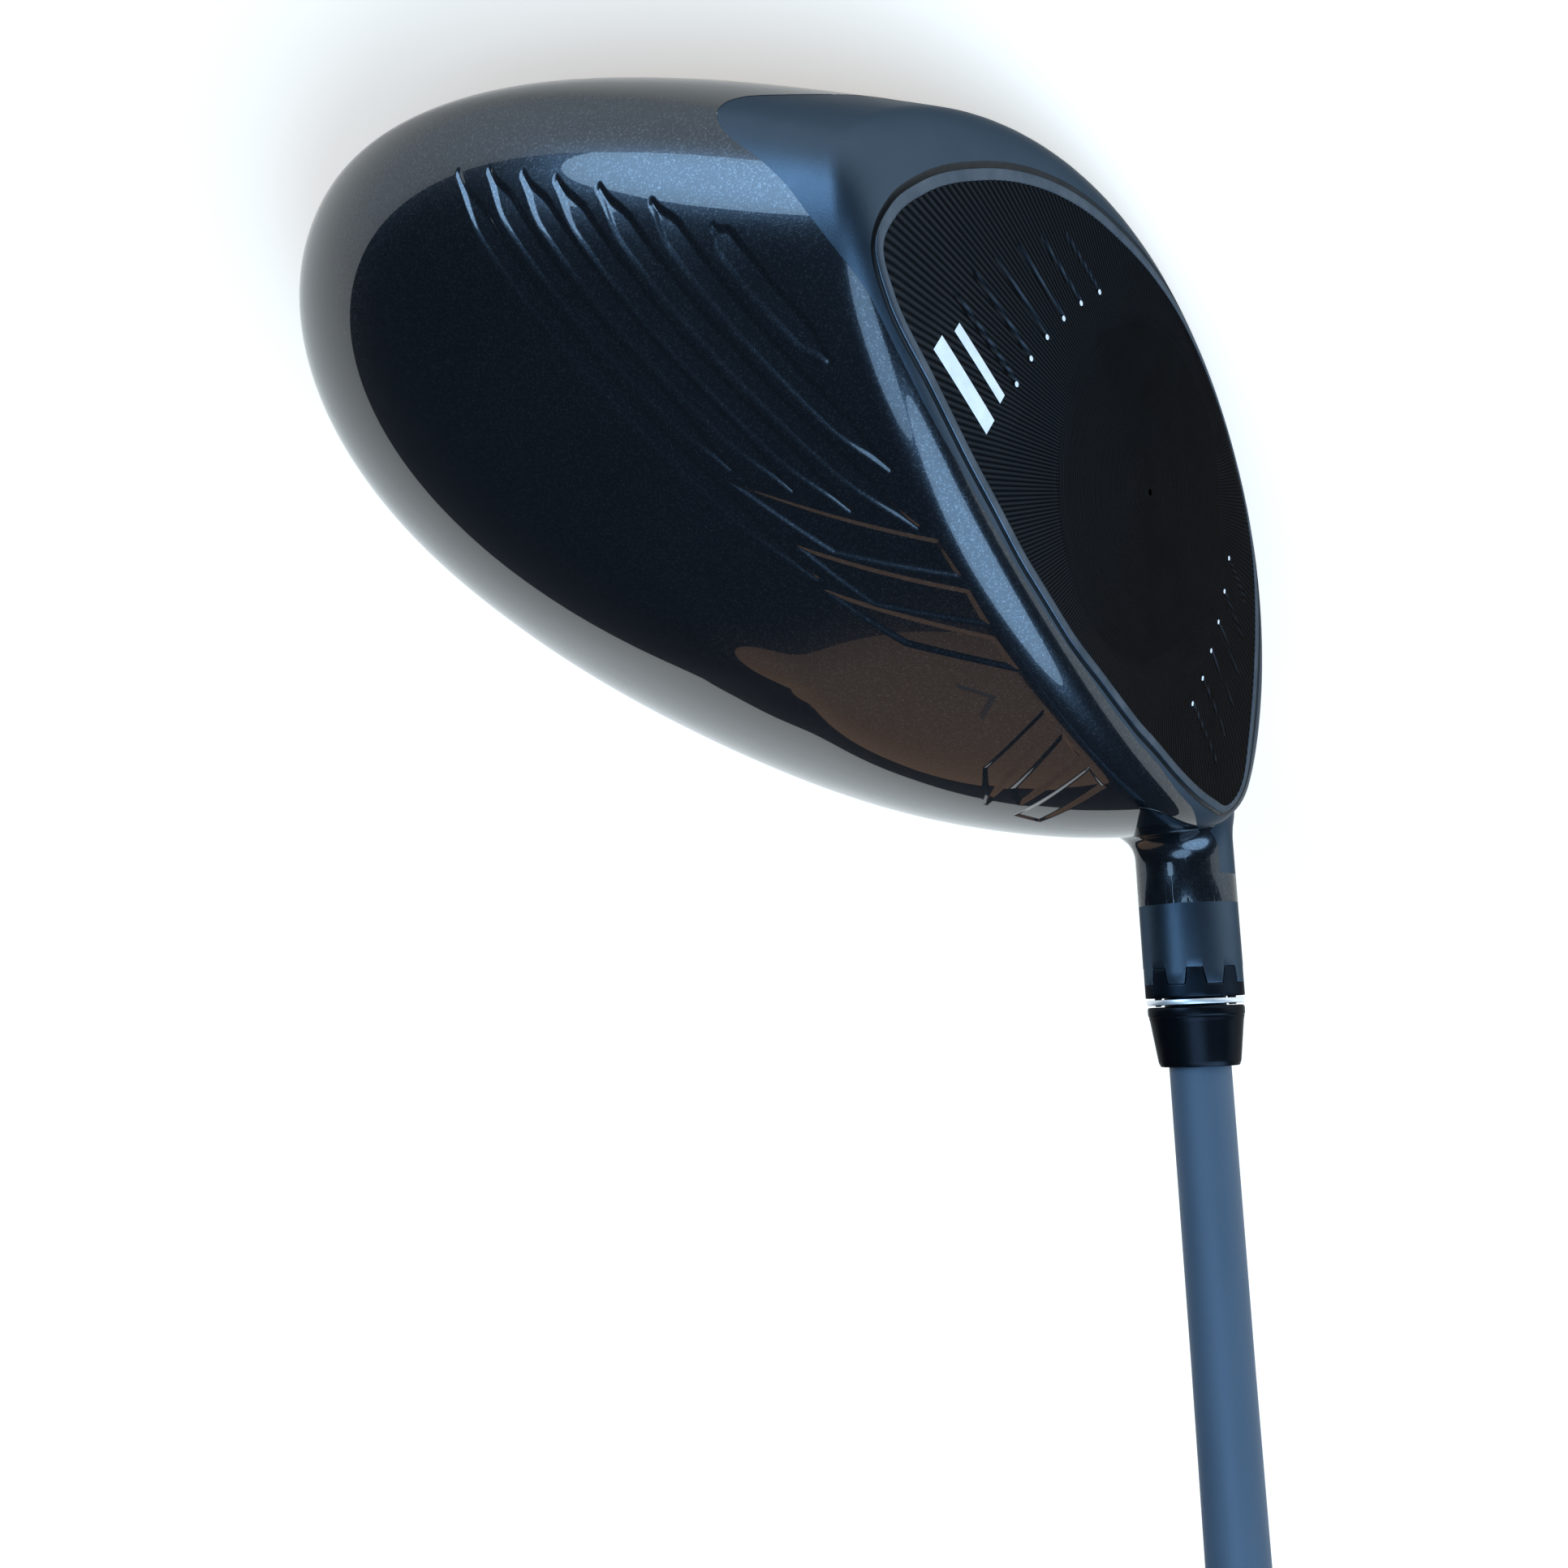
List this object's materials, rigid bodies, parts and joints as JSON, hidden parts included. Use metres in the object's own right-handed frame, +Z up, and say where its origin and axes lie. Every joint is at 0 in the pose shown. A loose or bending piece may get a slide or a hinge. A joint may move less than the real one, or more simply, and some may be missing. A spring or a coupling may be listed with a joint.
{
  "type": "golf driver",
  "caption": "Left-handed golf driver: hollow pear-shaped head with milled face, adjustable hosel adapter, graphite shaft, rubber grip and screw-in sole weights.",
  "frame": {"origin": "middle of the flat patch of the sole that the head stands on, midway along the head", "axes": "address pose: +Z up, +X from heel to toe, +Y from the face to the back of the head; the ball is struck towards -Y and the shaft rises towards -X"},
  "size_m": [0.7211, 0.1167, 0.9941],
  "materials": {
    "satin_body": "satin black paint over cast titanium",
    "gloss_crown": "high-gloss graphite blue-black lacquer with fine metal flake",
    "milled_face": "dark coated titanium, fine concentric and radial milling",
    "carbon_panel": "woven carbon under satin lacquer",
    "weight_steel": "machined steel",
    "seal_rubber": "black elastomer",
    "black_sleeve": "black anodised",
    "bolt_steel": "turned steel",
    "ferrule_plastic": "polished black",
    "silver_ring": "bright turned",
    "painted_shaft": "matt slate blue-grey lacquer over graphite fibre",
    "cork": "bare",
    "paper_tape": "paper, double sided",
    "grip_rubber": "moulded, matt"
  },
  "bodies": {
    "head": {"body_shell": "satin_body", "crown_shell": "gloss_crown", "face_insert": "milled_face", "sole_panel_toe": "carbon_panel", "sole_panel_heel": "carbon_panel", "front_weight_insert": "weight_steel", "rear_weight_insert": "weight_steel", "bolt_washer": "bolt_steel", "bolt_retainer": "ferrule_plastic"},
    "shaft_line": {"adapter_sleeve": "black_sleeve", "ferrule_ring": "silver_ring", "ferrule": "ferrule_plastic", "shaft": "painted_shaft", "shaft_tip_plug": "cork", "grip_tape": "paper_tape", "grip": "grip_rubber", "grip_cap": "grip_rubber"},
    "bolt": {"adapter_bolt": "bolt_steel"},
    "front_washer": {"front_weight_washer": "seal_rubber"},
    "front_screw": {"front_weight": "weight_steel"},
    "rear_washer": {"rear_weight_washer": "seal_rubber"},
    "rear_screw": {"rear_weight": "weight_steel"}
  },
  "joints": [
    {"name": "bolt_turn", "type": "hinge", "parent": "head", "child": "bolt", "pos_m": [-0.05844, -0.014, 0.01419], "axis": [0.518, 0, -0.8554], "range_deg": [0, 2700]},
    {"name": "shaft_release", "type": "slide", "parent": "head", "child": "shaft_line", "axis": [-0.518, 0, 0.8554], "range_m": [0, 0.006]},
    {"name": "front_weight_out", "type": "slide", "parent": "head", "child": "front_washer", "axis": [-0.018, -0.1378, -0.9903], "range_m": [0, 0.006]},
    {"name": "front_weight_turn", "type": "hinge", "parent": "front_washer", "child": "front_screw", "pos_m": [-0.003, -0.016, 0.00065], "axis": [-0.018, -0.1378, -0.9903], "range_deg": [0, 2160]},
    {"name": "rear_weight_out", "type": "slide", "parent": "head", "child": "rear_washer", "axis": [-0.0165, 0.1797, -0.9836], "range_m": [0, 0.006]},
    {"name": "rear_weight_turn", "type": "hinge", "parent": "rear_washer", "child": "rear_screw", "pos_m": [0.003, 0.056, 0.00346], "axis": [-0.0165, 0.1797, -0.9836], "range_deg": [0, 2160]}
  ],
  "couplings": [
    {"joint": "bolt_turn", "follows": "shaft_release", "rad_per_m": 7853.9},
    {"joint": "front_weight_turn", "follows": "front_weight_out", "rad_per_m": 6283.1},
    {"joint": "rear_weight_turn", "follows": "rear_weight_out", "rad_per_m": 6283.1}
  ]
}
